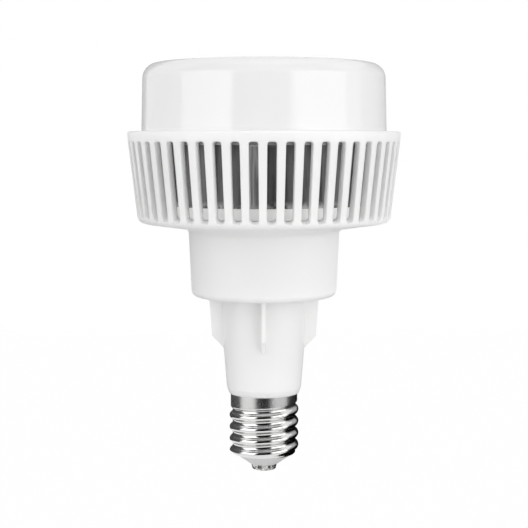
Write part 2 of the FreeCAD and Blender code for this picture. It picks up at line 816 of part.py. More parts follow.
# Leads: straight runs joined by tangent arcs
def lead(label, points, bend):
    """A round lead along the points, each inner corner turned with the given radius or a gentler one."""
    corners = [Vector(*[as_size(value).value for value in point]) for point in points]
    edges = []
    start = corners[0]
    for index in range(1, len(corners) - 1):
        before = corners[index - 1] - corners[index]
        after = corners[index + 1] - corners[index]
        shorter = min(before.Length, after.Length)
        half_turn = (math.pi - before.getAngle(after)) / 2
        before.normalize()
        after.normalize()
        setback = BEND_SHARE * shorter
        if bend is not None:
            setback = bend.value * math.tan(half_turn)
        radius = setback / math.tan(half_turn)
        first = corners[index] + before * setback
        last = corners[index] + after * setback
        inward = before + after
        inward.normalize()
        middle = corners[index] + inward * (radius / math.cos(half_turn) - radius)
        edges.append(Part.LineSegment(start, first).toShape())
        edges.append(Part.Arc(first, middle, last).toShape())
        start = last
    edges.append(Part.LineSegment(start, corners[-1]).toShape())
    path = Part.Wire(edges)
    heading = corners[1] - corners[0]
    ring = Part.Wire([Part.Circle(corners[0], heading, dim.lead_radius.value).toShape()])
    feature = doc.addObject("Part::Feature", label)
    feature.Label = label
    feature.Shape = path.makePipeShell([ring], True, True)
    feature.Placement = FreeCAD.Placement()
    nodes.append(feature)
    return feature


z_neutral = z_spigot - dim.spigot_gap / 2
lead("live_wire", [
    (0, 0, z_contact_top),
    (0, 0, z_shell_top),
    (-dim.wire_across, 0, z_waist),
    (-dim.wire_across, 0, z_ledge),
], None)
lead("neutral_wire", [
    (bore_radius - dim.lead_radius / 5, 0, z_neutral),
    (neck_bore - dim.wire_first_inset, 0, z_neutral),
    (neck_bore - dim.wire_inset, 0, z_neutral + dim.wire_rise),
    (neck_bore - dim.wire_inset, 0, z_shell_top),
    (dim.wire_across, 0, z_waist),
    (dim.wire_across, 0, z_ledge),
], None)
z_lead = z_board_top + dim.lead_height
for label, side in (("positive_lead", 1), ("negative_lead", -1)):
    lead(label, [
        (dim.lead_spacing * side, 0, z_driver_top),
        (dim.lead_spacing * side, 0, z_lead),
        (dim.lead_spacing * side, dim.terminal_offset, z_lead),
    ], dim.lead_bend)


# Screw shell: thin shell with a plain skirt, a right-hand rolled thread and a turned-in lower lip
shell = new_body("screw_shell")
nodes.append(shell)
shell_section = polygon(shell, "shell_section", "XZ_Plane", [
    (dim.lip_radius, z_shell_bottom),
    (root_radius, z_shoulder),
    (root_radius, z_skirt_bottom - dim.shell_wall),
    (skirt_radius, z_skirt_bottom + dim.shell_wall),
    (skirt_radius, z_shell_top),
    (bore_radius, z_shell_top),
    (bore_radius, z_shoulder + dim.shell_wall / 2),
    (dim.lip_radius, z_shell_bottom + dim.shell_wall),
])
revolve(shell, shell_section)
z_thread = z_shell_bottom + dim.thread_start
ridge_half = dim.thread_pitch * RIDGE_SHARE
ridge_root = root_radius - dim.shell_wall / 2
ridge_corners = [(ridge_root, z_thread - ridge_half)]
for along, rise in RIDGE_OUTLINE:
    ridge_corners.append((root_radius + dim.thread_depth * rise, z_thread + ridge_half * along))
ridge_corners.append((ridge_root, z_thread + ridge_half))
ridge = polygon(shell, "ridge_section", "XZ_Plane", ridge_corners)
thread = shell.newObject("PartDesign::AdditiveHelix", "rolled_thread")
thread.Profile = ridge
thread.ReferenceAxis = (ridge, ["V_Axis"])
thread.Mode = 0
thread.Angle = 0
bind(thread, "Pitch", dim.thread_pitch)
bind(thread, "Height", dim.shell_length - dim.skirt_height - dim.thread_run_out)
trim_radius = dim.crest_radius + dim.thread_pitch
z_trim = z_shell_bottom - dim.thread_pitch
trim_slope = dim.shoulder_height / (root_radius - dim.lip_radius) * TRIM_SHARE
lip_trim = polygon(shell, "lip_trim", "XZ_Plane", [
    (dim.lip_radius, z_trim),
    (trim_radius, z_trim),
    (trim_radius, z_shell_bottom + (trim_radius - dim.lip_radius) * trim_slope),
    (dim.lip_radius, z_shell_bottom),
])
revolve(shell, lip_trim, "Groove")


# Cap insulator: cone between shell lip and contact, with a flange inside the shell's shoulder
insulator = new_body("cap_insulator")
nodes.append(insulator)
lead_way = dim.lead_radius + dim.fit_clearance
nose_radius = dim.contact_radius + dim.nose_margin
insulator_section = polygon(insulator, "insulator_section", "XZ_Plane", [
    (lead_way, z_contact_top),
    (nose_radius, z_contact_top),
    (dim.lip_radius - dim.fit_clearance, z_shell_bottom),
    (dim.lip_radius - dim.fit_clearance, z_shell_bottom + dim.shell_wall),
    (bore_radius - dim.fit_clearance, z_flange_low),
    (bore_radius - dim.fit_clearance, z_flange_top),
    (lead_way, z_flange_top),
])
revolve(insulator, insulator_section)


# Centre contact: round disc with a rounded lower edge
contact = new_body("centre_contact")
nodes.append(contact)
contact_foot = dim.contact_radius - dim.contact_draft
contact_section = polygon(contact, "contact_section", "XZ_Plane", [
    (0, 0),
    (contact_foot, 0),
    (dim.contact_radius, z_contact_top),
    (0, z_contact_top),
])
revolve(contact, contact_section)
round_rings(contact, dim.contact_edge, [(contact_foot, as_size(0))])


# Every object must be sound before anything is written
doc.recompute()
for item in doc.Objects:
    if "Invalid" in item.State or "Error" in item.State:
        raise RuntimeError(f"{item.Name} failed: {item.State}")
for node in nodes:
    if node.Shape.isNull() or not node.Shape.isValid() or not node.Shape.Solids:
        raise RuntimeError(node.Label + " has no sound solid")

os.makedirs("parts", exist_ok=True)
for node in nodes:
    node.Shape.exportStep(f"parts/{node.Label}.step")
    print(node.Label, len(node.Shape.Solids), round(node.Shape.Volume, 1))
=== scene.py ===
# %% [markdown]
# An LED street lamp on a screw cap, standing cap down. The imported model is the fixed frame: every
# piece below sits where the solids say, in metres, with +Z up the lamp axis. The solids already have
# the right shape for most pieces, so this lesson is mostly about light and finish. Two pieces of the
# cap are modelled anew.

# %% Load the frame
import math

import bpy
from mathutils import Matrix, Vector


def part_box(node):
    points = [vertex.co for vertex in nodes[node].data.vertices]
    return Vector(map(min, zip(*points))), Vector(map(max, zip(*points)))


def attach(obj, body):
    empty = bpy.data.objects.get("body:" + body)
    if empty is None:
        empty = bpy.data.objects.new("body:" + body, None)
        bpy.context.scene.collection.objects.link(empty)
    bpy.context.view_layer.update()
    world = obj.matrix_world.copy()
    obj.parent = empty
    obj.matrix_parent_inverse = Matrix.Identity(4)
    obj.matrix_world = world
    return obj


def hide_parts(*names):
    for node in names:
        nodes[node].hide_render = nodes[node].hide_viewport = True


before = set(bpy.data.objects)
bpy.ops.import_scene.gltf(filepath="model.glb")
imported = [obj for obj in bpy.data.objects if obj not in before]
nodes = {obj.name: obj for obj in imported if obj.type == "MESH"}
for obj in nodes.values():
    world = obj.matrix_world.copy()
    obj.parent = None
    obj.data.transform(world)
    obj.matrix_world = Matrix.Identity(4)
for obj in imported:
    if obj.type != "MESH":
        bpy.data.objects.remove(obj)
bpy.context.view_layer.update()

MM = 0.001

# %% [markdown]
# The camera stands level with the tops of the vent slots, because the slot tops form a straight line in
# the photo and everything below them curves down. From there it tips down a little to frame the whole
# lamp. It also stands half a degree round to the right, so that the bars line up with those in the
# photo. The distance keeps the drum and the cap nearly undistorted, as a product lens does.

# %% Camera
EYE_DISTANCE = 0.730
EYE_HEIGHT = 0.1861
TIP_DOWN = math.radians(5.37)
EYE_TURN = math.radians(0.45)
camera_data = bpy.data.cameras.new("product_lens")
camera_data.lens = 88.48
camera_data.sensor_width = 36.0
camera = bpy.data.objects.new("camera", camera_data)
camera.location = (EYE_DISTANCE * math.sin(EYE_TURN), -EYE_DISTANCE * math.cos(EYE_TURN), EYE_HEIGHT)
camera.rotation_euler = (math.pi / 2 - TIP_DOWN, 0.0, EYE_TURN)
bpy.context.scene.collection.objects.link(camera)
bpy.context.scene.camera = camera
bpy.context.scene.view_settings.view_transform = "Standard"
print("camera at", [round(c, 3) for c in camera.location], "lens", round(camera_data.lens, 2))

# %% [markdown]
# Colours are written as the hex values a paint chart would give. Shaders work in linear light, so one
# function converts them. A second small function adds a node, sets its values and makes its links, so
# that each finish reads as a short list. A third starts a material. A noise node counts cells per metre,
# so the last one turns the size of a real mark into the node's scale.

# %% Colour and node helpers
WHITE = (1.0, 1.0, 1.0, 1.0)


def linear(hex_colour):
    """An sRGB hex colour as linear red, green, blue and a full alpha."""
    channels = [int(hex_colour[i:i + 2], 16) / 255 for i in (1, 3, 5)]
    return tuple(c / 12.92 if c <= 0.04045 else ((c + 0.055) / 1.055) ** 2.4 for c in channels) + (1.0,)


def add_node(tree, kind, values=None, links=None, **settings):
    """A new node with its settings, the values of its sockets and the links that come in."""
    made = tree.nodes.new(kind)
    for name, value in settings.items():
        setattr(made, name, value)
    for name, value in (values or {}).items():
        made.inputs[name].default_value = value
    for name, source in (links or {}).items():
        tree.links.new(source, made.inputs[name])
    return made


def new_material(name):
    """A material with its node tree, its shader and the object's own coordinates."""
    material = bpy.data.materials.new(name)
    material.use_nodes = True
    tree = material.node_tree
    shader = tree.nodes["Principled BSDF"]
    place = add_node(tree, "ShaderNodeTexCoord").outputs["Object"]
    return material, tree, shader, place


def cells(size):
    """Noise scale that gives marks of about this size in metres."""
    return 1.0 / size


print("mid grey in linear light:", [round(c, 3) for c in linear("#808080")])

# %% [markdown]
# The studio is a white sweep with a large soft box on each side of the camera. A lamp photographed this
# way shows two broad upright highlights on its diffuser. The world is white to the camera and in
# reflections, and dimmer as a light, so that the pale plastic keeps its shading.

# %% World
FILL_LEVEL = 0.57
world = bpy.data.worlds.new("white_studio")
bpy.context.scene.world = world
world.use_nodes = True
sky = world.node_tree
background = sky.nodes["Background"]
background.inputs["Color"].default_value = WHITE


def seen_directly(tree):
    """One where the ray comes from the camera, a reflection or a transmission."""
    path = add_node(tree, "ShaderNodeLightPath")
    mirrored = add_node(tree, "ShaderNodeMath", operation="MAXIMUM",
                        links={0: path.outputs["Is Camera Ray"], 1: path.outputs["Is Glossy Ray"]})
    seen = add_node(tree, "ShaderNodeMath", operation="MAXIMUM",
                    links={0: mirrored.outputs[0], 1: path.outputs["Is Transmission Ray"]})
    return seen.outputs[0]


level = add_node(sky, "ShaderNodeMapRange", {"To Min": FILL_LEVEL, "To Max": 1.0},
                 {"Value": seen_directly(sky)})
sky.links.new(level.outputs["Result"], background.inputs["Strength"])
print("world fill", FILL_LEVEL)

# %% [markdown]
# The floor lies half a metre below the lamp, because the photo shows no shadow under it. It is pale, as
# a sweep looks when it is lit from all sides. Most of its white is its own glow, and the rest is lit, so
# that it keeps what shadow the lamp throws.

# %% Floor
FLOOR_DROP = 0.5
FLOOR_SIZE = 8.0
GLOW_SHARE = 0.99
bpy.ops.object.select_all(action="DESELECT")
bpy.ops.mesh.primitive_plane_add(size=FLOOR_SIZE, location=(0.0, 0.0, -FLOOR_DROP))
floor = bpy.context.active_object
floor.name = "floor"
floor_paint = bpy.data.materials.new("white sweep")
floor_paint.use_nodes = True
tree = floor_paint.node_tree
tree.nodes.clear()
lit = add_node(tree, "ShaderNodeBsdfDiffuse", {"Color": linear("#ECECEC")})
glow = add_node(tree, "ShaderNodeEmission", {"Strength": 1.0})
share = add_node(tree, "ShaderNodeMath", {1: GLOW_SHARE}, {0: seen_directly(tree)}, operation="MULTIPLY")
blend = add_node(tree, "ShaderNodeMixShader",
                 links={0: share.outputs[0], 1: lit.outputs[0], 2: glow.outputs[0]})
add_node(tree, "ShaderNodeOutputMaterial", links={"Surface": blend.outputs[0]})
floor.data.materials.append(floor_paint)
print("floor at", -FLOOR_DROP)

# %% [markdown]
# Bright metal only looks like metal when something dark stands beside the lights, and studio hands set
# up black and grey cards for this. A card here is a piece of a round wall that only reflections see. It
# starts as an open cylinder, and the faces outside its angles are deleted. The camera looks down on the
# cap, so the plain part of the cap mirrors what lies a little below the horizon, and the slopes of the
# thread mirror what lies higher and lower. The low cards therefore shape the skirt, the one overhead
# draws fine grey lines along the thread, and the far walls belong to the diffuser.

# %% Cards
NEAR, MIDWAY, FAR = 0.15, 0.6, 1.7
CARD_STEPS = 120


def card(name, from_angle, to_angle, ring, low, high, colour):
    """A curved card for reflections only; angles run from the camera's side, positive to its right."""
    bpy.ops.object.select_all(action="DESELECT")
    bpy.ops.mesh.primitive_cylinder_add(vertices=CARD_STEPS, radius=ring, depth=high - low,
                                        end_fill_type="NOTHING", location=(0, 0, (high + low) / 2))
    wall = bpy.context.active_object
    wall.name = name
    bpy.ops.object.mode_set(mode="EDIT")
    bpy.ops.mesh.select_all(action="DESELECT")
    bpy.ops.object.mode_set(mode="OBJECT")
    for face in wall.data.polygons:
        angle = math.degrees(math.atan2(face.center.x, -face.center.y))
        face.select = not from_angle <= angle <= to_angle
    bpy.ops.object.mode_set(mode="EDIT")
    bpy.ops.mesh.delete(type="FACE")
    bpy.ops.object.mode_set(mode="OBJECT")
    paint = bpy.data.materials.new(name + " paint")
    paint.use_nodes = True
    shader = paint.node_tree.nodes["Principled BSDF"]
    shader.inputs["Base Color"].default_value = linear(colour)
    shader.inputs["Roughness"].default_value = 1.0
    shader.inputs["Specular IOR Level"].default_value = 0.0
    wall.data.materials.append(paint)
    wall.visible_camera = False
    wall.visible_diffuse = False
    wall.visible_shadow = False


# The dark middle of the diffuser and the cap
card("card_behind_camera", -26, 24, FAR, -0.5, 1.6, "#0C0C0C")
card("card_low_front", -31, 27, MIDWAY, -0.3, -0.06, "#0C0C0C")
# The left edge of the cap, grey and darkest at its foot
card("card_left_tall", -145, -82, NEAR, 0.07, 0.15, "#707070")
card("card_left", -168, -82, NEAR, -0.015, 0.07, "#585858")
card("card_left_low", -168, -82, NEAR, -0.03, -0.015, "#101010")
# The right edge of the cap, black with a grey stripe
card("card_right", 82, 179, NEAR, -0.25, 0.034, "#080808")
card("card_right_tall", 138, 179, NEAR, 0.034, 0.07, "#080808")
card("card_right_grey", 82, 138, NEAR, 0.034, 0.07, "#A0A0A0")
# The bands beside the dark middle of the cap, and the lines along its thread
card("grey_strip_left", -82, -31, MIDWAY, -0.16, -0.06, "#C8C8C8")
card("grey_strip_right", 27, 82, MIDWAY, -0.16, -0.06, "#404040")
card("card_overhead", -82, 82, MIDWAY, 0.42, 1.3, "#8C8C8C")
# The two edges of the diffuser
card("grey_wall_left", -172, -142, FAR, 0.0, 1.2, "#C0C0C0")
card("grey_wall_right", 100, 172, FAR, 0.0, 1.2, "#D8D8D8")
print("cards set:", sum("paint" in material.name for material in bpy.data.materials))

# %% [markdown]
# Each soft box is one tall area lamp, wide enough to give the broad highlight that the diffuser shows,
# and turned to face the middle of the lamp. A small third lamp from the front lifts the shadows under
# the drum. It is hidden from reflections, so it leaves no highlight of its own.

# %% Soft boxes
AIM = Vector((0.0, 0.0, 0.14))
BOX_DISTANCE = 1.2


def soft_box(name, angle, height, size, power):
    """An area lamp that faces the lamp's middle; its angle runs from the camera's side to the right."""
    lamp = bpy.data.lights.new(name, "AREA")
    lamp.shape = "RECTANGLE"
    lamp.size, lamp.size_y = size
    lamp.energy = power
    box = bpy.data.objects.new(name, lamp)
    turn = math.radians(angle)
    box.location = (BOX_DISTANCE * math.sin(turn), -BOX_DISTANCE * math.cos(turn), height)
    box.rotation_euler = (AIM - box.location).to_track_quat("-Z", "Y").to_euler()
    bpy.context.scene.collection.objects.link(box)
    return box


soft_box("soft_box_left", -54, 0.6, (1.2, 1.5), 6.2)
soft_box("soft_box_right", 54, 0.6, (1.25, 1.5), 5.45)
front_fill = soft_box("front_fill", 34, 0.25, (0.6, 0.6), 2.3)
front_fill.visible_glossy = False
print("lamps set:", len(bpy.data.lights))

# %% [markdown]
# White moulded plastic: the tool of a housing is lightly eroded, so the surface is satin with a very
# fine grain, and its white is faintly cloudy. The grain is about 0.3 mm on the real piece, and it is
# drawn at 1 mm so that it just shows up close. The plastic lets light in for a few millimetres, which
# softens the shade between the bars. No moulding has sharp edges, and here the Bevel node rounds them for
# the eye without changing the solid.

# %% White moulded plastic
GRAIN = 1.0 * MM
CLOUD = 16.667 * MM
plastic, tree, shader, place = new_material("white moulded PBT")
shader.inputs["Roughness"].default_value = 0.42
shader.inputs["Subsurface Weight"].default_value = 0.7
shader.inputs["Subsurface Radius"].default_value = (1.0, 1.0, 1.0)
shader.inputs["Subsurface Scale"].default_value = 4 * MM
cloud = add_node(tree, "ShaderNodeTexNoise", {"Scale": cells(CLOUD), "Detail": 3.0}, {"Vector": place})
tint = add_node(tree, "ShaderNodeMix", {"A": linear("#FAFAF9"), "B": linear("#FDFDFC")},
                {"Factor": cloud.outputs["Fac"]}, data_type="RGBA")
tree.links.new(tint.outputs["Result"], shader.inputs["Base Color"])
grain = add_node(tree, "ShaderNodeTexNoise", {"Scale": cells(GRAIN), "Detail": 2.0}, {"Vector": place})
soft_edge = add_node(tree, "ShaderNodeBevel", {"Radius": 0.8 * MM}, samples=6)
relief = add_node(tree, "ShaderNodeBump", {"Strength": 0.06, "Distance": 0.1 * MM},
                  {"Height": grain.outputs["Fac"], "Normal": soft_edge.outputs["Normal"]})
tree.links.new(relief.outputs["Normal"], shader.inputs["Normal"])
print("made", plastic.name)

# %% [markdown]
# Opal polycarbonate: light goes in, scatters on a white filler and comes out again a few millimetres
# away, which hides the board inside. The outside comes from a polished tool and is glossy. Opal also
# carries light down into the narrow groove at its foot, farther than the scattering here does, so the
# foot gets a painted glow, an emission that lifts the shade in the groove instead of a dark line.

# %% Opal polycarbonate
HAZE = 55.556 * MM
FOOT_PAINTED_GLOW = 0.1
FOOT_RISE = 1.5 * MM
rim_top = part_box("vent_housing")[1].z
opal, tree, shader, place = new_material("opal polycarbonate")
shader.inputs["Roughness"].default_value = 0.08
shader.inputs["IOR"].default_value = 1.58
shader.inputs["Subsurface Weight"].default_value = 0.35
shader.inputs["Subsurface Radius"].default_value = (1.0, 1.0, 1.0)
shader.inputs["Subsurface Scale"].default_value = 4 * MM
cloud = add_node(tree, "ShaderNodeTexNoise", {"Scale": cells(HAZE), "Detail": 2.0}, {"Vector": place})
tint = add_node(tree, "ShaderNodeMix", {"A": linear("#F3F3F3"), "B": linear("#F7F7F7")},
                {"Factor": cloud.outputs["Fac"]}, data_type="RGBA")
tree.links.new(tint.outputs["Result"], shader.inputs["Base Color"])
where = add_node(tree, "ShaderNodeSeparateXYZ", links={"Vector": place})
# Painted glow: emission near the foot lifts the shade in the groove between diffuser and rim
foot = add_node(tree, "ShaderNodeMapRange",
                {"From Min": rim_top, "From Max": rim_top + FOOT_RISE, "To Min": FOOT_PAINTED_GLOW, "To Max": 0.0},
                {"Value": where.outputs["Z"]})
tree.links.new(foot.outputs["Result"], shader.inputs["Emission Strength"])
print("made", opal.name, "with its foot at", round(rim_top / MM, 1), "mm")

# %% [markdown]
# Satin aluminium: the cup is drawn from sheet, and the draw leaves upright streaks. They are about 6 mm
# wide with finer ones inside, and the noise is stretched along Z to make them. The location of the
# mapping only picks which part of the noise falls on the cup. Dark streaks are also a little shinier than
# pale ones.

# %% Drawn aluminium
STREAK_WIDE, STREAK_LONG = 6.25 * MM, 111.11 * MM
aluminium, tree, shader, place = new_material("drawn satin aluminium")
shader.inputs["Metallic"].default_value = 1.0
stretch = add_node(tree, "ShaderNodeMapping",
                   {"Location": (5.3, 2.1, 0.0),
                    "Scale": (cells(STREAK_WIDE), cells(STREAK_WIDE), cells(STREAK_LONG))},
                   {"Vector": place})
streak = add_node(tree, "ShaderNodeTexNoise", {"Scale": 1.0, "Detail": 5.0, "Roughness": 0.7},
                  {"Vector": stretch.outputs["Vector"]})
sharp = add_node(tree, "ShaderNodeMapRange", {"From Min": 0.3, "From Max": 0.75},
                 {"Value": streak.outputs["Fac"]})
drawn = add_node(tree, "ShaderNodeMix", {"A": linear("#4A4A4A"), "B": linear("#A0A0A0")},
                 {"Factor": sharp.outputs["Result"]}, data_type="RGBA")
polish = add_node(tree, "ShaderNodeMapRange", {"To Min": 0.45, "To Max": 0.62},
                  {"Value": streak.outputs["Fac"]})
tree.links.new(polish.outputs["Result"], shader.inputs["Roughness"])
print("made", aluminium.name)

# %% [markdown]
# Painted reflections lie on the dull metal. One is a bright streak painted at the front, just left of the
# middle bar, as a reflection seen through the slot. Its mask fades with the distance to the side of the
# streak's middle, and a finer noise breaks it into fine streaks. The mask goes by X alone, so the back of
# the cup has such a painted streak too.

# %% Painted reflection streak
REFLECTION_MIDDLE = -4.65 * MM
REFLECTION_INNER, REFLECTION_OUTER = 2.6 * MM, 4.0 * MM
REFLECTION_STREAK_WIDE, REFLECTION_STREAK_LONG = 1.6667 * MM, 45.455 * MM
where = add_node(tree, "ShaderNodeSeparateXYZ", links={"Vector": place})
aside = add_node(tree, "ShaderNodeMath", {1: REFLECTION_MIDDLE}, {0: where.outputs["X"]}, operation="SUBTRACT")
distance = add_node(tree, "ShaderNodeMath", links={0: aside.outputs[0]}, operation="ABSOLUTE")
# Mask of the painted reflection: a bright streak at the front, just left of the middle bar
painted_reflection_band = add_node(tree, "ShaderNodeMapRange",
                {"From Min": REFLECTION_INNER, "From Max": REFLECTION_OUTER, "To Min": 1.0, "To Max": 0.0},
                {"Value": distance.outputs[0]})
fine = add_node(tree, "ShaderNodeMapping",
                {"Location": (0.4, 0.0, 0.0),
                 "Scale": (cells(REFLECTION_STREAK_WIDE), cells(REFLECTION_STREAK_WIDE), cells(REFLECTION_STREAK_LONG))},
                {"Vector": place})
reflection_streak_noise = add_node(tree, "ShaderNodeTexNoise", {"Scale": 1.0, "Detail": 2.0},
                   {"Vector": fine.outputs["Vector"]})
bright = add_node(tree, "ShaderNodeMapRange", {"From Min": 0.36, "From Max": 0.64},
                  {"Value": reflection_streak_noise.outputs["Fac"]})
# Painted reflection: pale streaks mixed into the dull metal inside that mask
painted_reflection = add_node(tree, "ShaderNodeMix", {"A": linear("#A0A0A0"), "B": linear("#F4F4F4")},
                     {"Factor": bright.outputs["Result"]}, data_type="RGBA")
with_painted_reflection = add_node(tree, "ShaderNodeMix", data_type="RGBA",
                  links={"Factor": painted_reflection_band.outputs["Result"], "A": drawn.outputs["Result"],
                         "B": painted_reflection.outputs["Result"]})
print("streak", round(2 * REFLECTION_OUTER / MM, 1), "mm wide")

# %% [markdown]
# The other painted places follow the height. Near the lower edge of the cup, spots of about 3 mm are
# painted brighter as reflections, and the edge of the flange, which lies in the rim's shade, is painted
# paler all round as a highlight.

# %% Painted reflections and highlight on the cup's edges
REFLECTION_SPOT = 3.3333 * MM
FLANGE = 1.5 * MM
sink_low, sink_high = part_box("heat_sink")
# Painted reflections: spots near the lower edge of the cup are painted brighter
reflection_foot_zone = add_node(tree, "ShaderNodeMapRange",
                     {"From Min": sink_low.z + 1 * MM, "From Max": sink_low.z + 4 * MM,
                      "To Min": 1.0, "To Max": 0.0}, {"Value": where.outputs["Z"]})
reflection_spot_noise = add_node(tree, "ShaderNodeTexNoise", {"Scale": cells(REFLECTION_SPOT), "Detail": 2.0}, {"Vector": place})
spots = add_node(tree, "ShaderNodeMapRange", {"From Min": 0.42, "From Max": 0.6},
                 {"Value": reflection_spot_noise.outputs["Fac"]})
foot_painted_reflection = add_node(tree, "ShaderNodeMath", operation="MULTIPLY",
                  links={0: reflection_foot_zone.outputs["Result"], 1: spots.outputs["Result"]})
with_foot_reflection = add_node(tree, "ShaderNodeMix", {"B": linear("#C4C4C4")},
                   {"Factor": foot_painted_reflection.outputs[0], "A": with_painted_reflection.outputs["Result"]}, data_type="RGBA")
# Painted highlight: the flange's edge, which lies in the rim's shade, is painted paler all round
flange_painted_highlight = add_node(tree, "ShaderNodeMapRange",
                     {"From Min": sink_high.z - FLANGE - 0.1 * MM, "From Max": sink_high.z - FLANGE},
                     {"Value": where.outputs["Z"]})
# The painted highlight is mixed in on the flange edge here
turned = add_node(tree, "ShaderNodeMix", {"B": linear("#B4B4B4")},
                  {"Factor": flange_painted_highlight.outputs["Result"], "A": with_foot_reflection.outputs["Result"]}, data_type="RGBA")
tree.links.new(turned.outputs["Result"], shader.inputs["Base Color"])
print("edges at", round(sink_low.z / MM, 1), "and", round(sink_high.z / MM, 1), "mm")

# %% [markdown]
# Bright nickel on brass: a mirror without colour, broken a little by handling marks and by the uneven
# rolling of the thread. The skirt above the thread was not pressed smooth by the rollers, so it is
# hazier.

# %% Nickel plate
SMUDGE = 8.3333 * MM
DENT = 6.6667 * MM
SKIRT_FOOT, SKIRT_PLAIN = 35.5 * MM, 37.5 * MM
nickel, tree, shader, place = new_material("nickel-plated brass")
shader.inputs["Metallic"].default_value = 1.0
smudge = add_node(tree, "ShaderNodeTexNoise", {"Scale": cells(SMUDGE), "Detail": 4.0}, {"Vector": place})
tint = add_node(tree, "ShaderNodeMix", {"A": linear("#DADAD9"), "B": linear("#E8E8E7")},
                {"Factor": smudge.outputs["Fac"]}, data_type="RGBA")
tree.links.new(tint.outputs["Result"], shader.inputs["Base Color"])
where = add_node(tree, "ShaderNodeSeparateXYZ", links={"Vector": place})
skirt_haze = add_node(tree, "ShaderNodeMapRange",
                      {"From Min": SKIRT_FOOT, "From Max": SKIRT_PLAIN, "To Min": 0.0, "To Max": 0.12},
                      {"Value": where.outputs["Z"]})
polish = add_node(tree, "ShaderNodeMapRange", {"To Min": 0.12, "To Max": 0.2},
                  {"Value": smudge.outputs["Fac"]})
haze = add_node(tree, "ShaderNodeMath", operation="ADD",
                links={0: polish.outputs["Result"], 1: skirt_haze.outputs["Result"]})
tree.links.new(haze.outputs[0], shader.inputs["Roughness"])
dents = add_node(tree, "ShaderNodeTexNoise", {"Scale": cells(DENT), "Detail": 2.0}, {"Vector": place})
relief = add_node(tree, "ShaderNodeBump", {"Strength": 0.25, "Distance": 0.3 * MM},
                  {"Height": dents.outputs["Fac"]})
tree.links.new(relief.outputs["Normal"], shader.inputs["Normal"])
print("made", nickel.name)

# %% [markdown]
# Solder: the contact is tinned by hand. The solder sets in small dull and bright patches with a lumpy
# skin, so colour, polish and relief all follow the same lumps of about 2 mm.

# %% Solder
LUMP = 2.0 * MM
solder, tree, shader, place = new_material("tinned solder")
shader.inputs["Metallic"].default_value = 1.0
lumps = add_node(tree, "ShaderNodeTexNoise", {"Scale": cells(LUMP), "Detail": 3.0}, {"Vector": place})
patch = add_node(tree, "ShaderNodeMapRange", {"From Min": 0.36, "From Max": 0.56},
                 {"Value": lumps.outputs["Fac"]})
tint = add_node(tree, "ShaderNodeMix", {"A": linear("#4A4A49"), "B": linear("#E4E4E2")},
                {"Factor": patch.outputs["Result"]}, data_type="RGBA")
tree.links.new(tint.outputs["Result"], shader.inputs["Base Color"])
polish = add_node(tree, "ShaderNodeMapRange", {"To Min": 0.2, "To Max": 0.5},
                  {"Value": lumps.outputs["Fac"]})
tree.links.new(polish.outputs["Result"], shader.inputs["Roughness"])
relief = add_node(tree, "ShaderNodeBump", {"Strength": 1.0, "Distance": 1.5 * MM},
                  {"Height": lumps.outputs["Fac"]})
tree.links.new(relief.outputs["Normal"], shader.inputs["Normal"])
print("made", solder.name)

# %% [markdown]
# The pieces that hardly show get plain versions of their real finishes: two tones mixed by noise, at a
# grain that suits each, so that none is one flat colour.

# %% Inner finishes
def two_tone(name, first, second, grain_mm, roughness, metallic=0.0):
    """A finish of two close tones, with a grain of this many millimetres."""
    material, tree, shader, place = new_material(name)
    shader.inputs["Roughness"].default_value = roughness
    shader.inputs["Metallic"].default_value = metallic
    spots = add_node(tree, "ShaderNodeTexNoise", {"Scale": cells(grain_mm * MM), "Detail": 2.0},
                     {"Vector": place})
    tint = add_node(tree, "ShaderNodeMix", {"A": linear(first), "B": linear(second)},
                    {"Factor": spots.outputs["Fac"]}, data_type="RGBA")
    tree.links.new(tint.outputs["Result"], shader.inputs["Base Color"])
    return material


inner = {
    "cap_insulator": two_tone("grey moulded insulator", "#D6D6D5", "#E0E0DF", 1.5, 0.5),
    "led_board": two_tone("white solder mask", "#E6E6E2", "#EEEEEA", 3.0, 0.45),
    "led_packages": two_tone("yellow phosphor resin", "#E5C34A", "#F0D468", 0.8, 0.35),
    "driver_board": two_tone("green solder mask", "#1B5A34", "#267043", 2.0, 0.4),
    "bulk_capacitors": two_tone("black shrink sleeve", "#16181C", "#22252A", 2.0, 0.35),
    "transformer_core": two_tone("sintered ferrite", "#2A2A2C", "#38383A", 0.8, 0.6),
    "transformer_winding": two_tone("yellow winding tape", "#D8B53A", "#E4C553", 2.0, 0.4),
    "line_choke": two_tone("enamelled copper wire", "#8A4522", "#A8582E", 0.8, 0.35, 1.0),
    "film_capacitor": two_tone("ochre capacitor case", "#B8923A", "#C8A24A", 2.0, 0.45),
}
black_epoxy = two_tone("black moulded epoxy", "#151515", "#202020", 1.0, 0.5)
zinc_steel = two_tone("zinc-plated steel", "#A9ABAC", "#BFC0C0", 1.0, 0.3, 1.0)
red_sleeve = two_tone("red silicone sleeve", "#8E1712", "#A3201A", 1.5, 0.5)
black_sleeve = two_tone("black silicone sleeve", "#141414", "#202020", 1.5, 0.5)
for name in ("bridge_rectifier", "switching_transistor", "input_fuse"):
    inner[name] = black_epoxy
for name in ("board_screws", "heat_sink_screws", "cover_screws"):
    inner[name] = zinc_steel
for name in ("live_wire", "positive_lead"):
    inner[name] = red_sleeve
for name in ("neutral_wire", "negative_lead"):
    inner[name] = black_sleeve
print("inner finishes:", len(inner))

# %% [markdown]
# The white driver cover shows low in the slots. The housing round it lets light through, more than the
# plastic of this scene does over that distance, so a painted glow, an emission, stands in for that light.

# %% White moulded cover with a painted glow
COVER_PAINTED_GLOW = 0.16
cover_white_painted_glow = two_tone("white moulded cover", "#F6F6F5", "#FCFCFB", 2.0, 0.5)
shader = cover_white_painted_glow.node_tree.nodes["Principled BSDF"]
